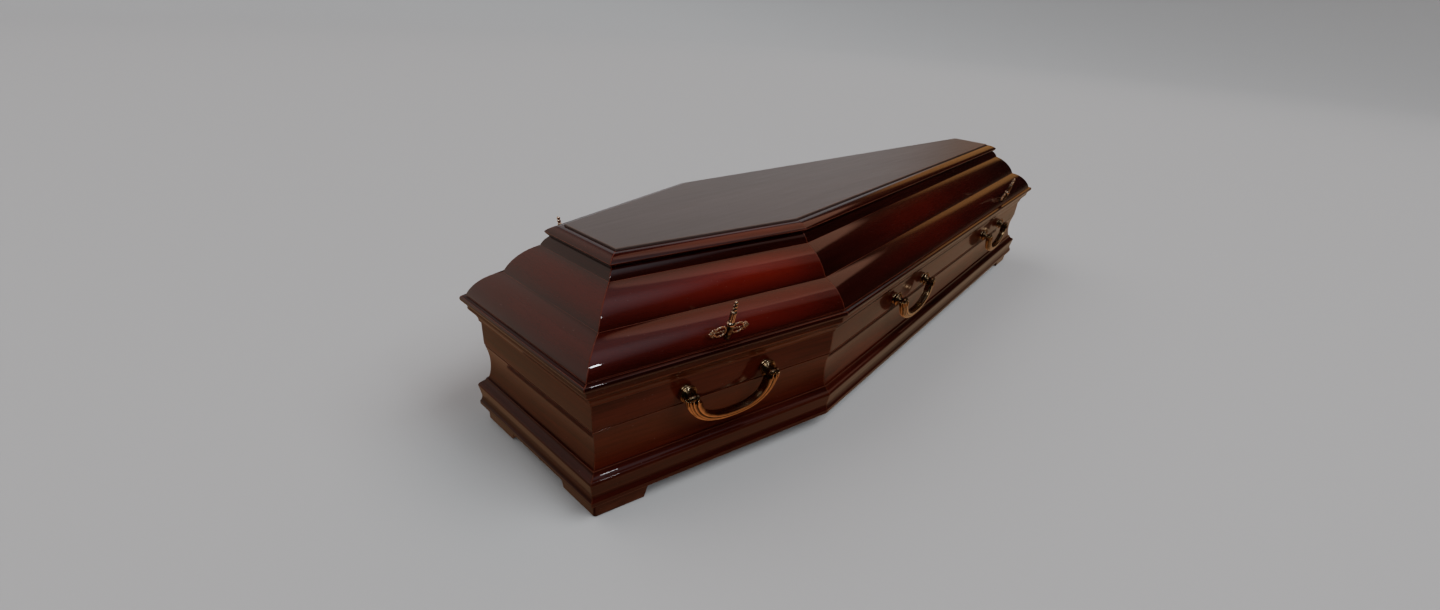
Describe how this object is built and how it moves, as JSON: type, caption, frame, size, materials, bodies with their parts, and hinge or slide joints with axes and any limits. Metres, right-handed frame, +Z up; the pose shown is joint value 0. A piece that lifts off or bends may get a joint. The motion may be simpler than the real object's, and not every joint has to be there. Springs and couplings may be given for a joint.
{
  "type": "wooden coffin",
  "caption": "Six-sided wooden coffin, widest at the shoulders, with a moulded lift-off lid with a flat top panel, swinging bail handles, wing screws and bracket feet.",
  "frame": {"origin": "on the ground, under the middle of the coffin", "axes": "+X from the head end to the foot end, +Z up, -Y out of the front long side"},
  "size_m": [2.041, 0.6716, 0.4526],
  "materials": {
    "dark_lacquered_wood": "gloss",
    "red_lacquered_wood": "gloss",
    "satin_wood": "satin",
    "bare_wood": "matte",
    "bronze": "polished, antique",
    "pale_bronze": "polished"
  },
  "bodies": {
    "coffin": {"floor_board": "bare_wood", "lid_top_panel": "satin_wood", "wall_head": "dark_lacquered_wood", "plinth_moulding_head": "dark_lacquered_wood", "rim_moulding_head": "dark_lacquered_wood", "lid_side_head": "red_lacquered_wood", "lid_cornice_head": "red_lacquered_wood", "wall_back_short": "dark_lacquered_wood", "plinth_moulding_back_short": "dark_lacquered_wood", "rim_moulding_back_short": "dark_lacquered_wood", "lid_side_back_short": "red_lacquered_wood", "lid_cornice_back_short": "red_lacquered_wood", "wall_back_long": "dark_lacquered_wood", "plinth_moulding_back_long": "dark_lacquered_wood", "rim_moulding_back_long": "dark_lacquered_wood", "lid_side_back_long": "red_lacquered_wood", "lid_cornice_back_long": "red_lacquered_wood", "wall_foot": "dark_lacquered_wood", "plinth_moulding_foot": "dark_lacquered_wood", "rim_moulding_foot": "dark_lacquered_wood", "lid_side_foot": "red_lacquered_wood", "lid_cornice_foot": "red_lacquered_wood", "wall_front_long": "dark_lacquered_wood", "plinth_moulding_front_long": "dark_lacquered_wood", "rim_moulding_front_long": "dark_lacquered_wood", "lid_side_front_long": "red_lacquered_wood", "lid_cornice_front_long": "red_lacquered_wood", "wall_front_short": "dark_lacquered_wood", "plinth_moulding_front_short": "dark_lacquered_wood", "rim_moulding_front_short": "dark_lacquered_wood", "lid_side_front_short": "red_lacquered_wood", "lid_cornice_front_short": "red_lacquered_wood", "bracket_foot_head_front": "dark_lacquered_wood", "bracket_foot_head_back": "dark_lacquered_wood", "bracket_foot_foot_back": "dark_lacquered_wood", "bracket_foot_foot_front": "dark_lacquered_wood", "handle_front_head_post_1": "bronze", "handle_front_head_post_2": "bronze", "handle_front_middle_post_1": "bronze", "handle_front_middle_post_2": "bronze", "handle_front_foot_post_1": "bronze", "handle_front_foot_post_2": "bronze", "handle_back_head_post_1": "bronze", "handle_back_head_post_2": "bronze", "handle_back_middle_post_1": "bronze", "handle_back_middle_post_2": "bronze", "handle_back_foot_post_1": "bronze", "handle_back_foot_post_2": "bronze", "wing_screw_front_head": "pale_bronze", "wing_screw_front_foot": "pale_bronze", "wing_screw_back_head": "pale_bronze", "wing_screw_back_foot": "pale_bronze"},
    "bail_front_head": {"handle_front_head_bail": "bronze"},
    "bail_front_middle": {"handle_front_middle_bail": "bronze"},
    "bail_front_foot": {"handle_front_foot_bail": "bronze"},
    "bail_back_head": {"handle_back_head_bail": "bronze"},
    "bail_back_middle": {"handle_back_middle_bail": "bronze"},
    "bail_back_foot": {"handle_back_foot_bail": "bronze"}
  },
  "joints": [
    {"name": "swing_front_head", "type": "hinge", "parent": "coffin", "child": "bail_front_head", "pos_m": [-0.73091, -0.27504, 0.211], "axis": [-0.9768, 0.214, 0], "range_deg": [0, 100]},
    {"name": "swing_front_middle", "type": "hinge", "parent": "coffin", "child": "bail_front_middle", "pos_m": [-0.04128, -0.29928, 0.211], "axis": [-0.9965, -0.083, 0], "range_deg": [0, 100]},
    {"name": "swing_front_foot", "type": "hinge", "parent": "coffin", "child": "bail_front_foot", "pos_m": [0.66029, -0.24082, 0.211], "axis": [-0.9965, -0.083, 0], "range_deg": [0, 100]},
    {"name": "swing_back_head", "type": "hinge", "parent": "coffin", "child": "bail_back_head", "pos_m": [-0.73091, 0.27504, 0.211], "axis": [0.9768, 0.214, 0], "range_deg": [0, 100]},
    {"name": "swing_back_middle", "type": "hinge", "parent": "coffin", "child": "bail_back_middle", "pos_m": [-0.04128, 0.29928, 0.211], "axis": [0.9965, -0.083, 0], "range_deg": [0, 100]},
    {"name": "swing_back_foot", "type": "hinge", "parent": "coffin", "child": "bail_back_foot", "pos_m": [0.66029, 0.24082, 0.211], "axis": [0.9965, -0.083, 0], "range_deg": [0, 100]}
  ]
}
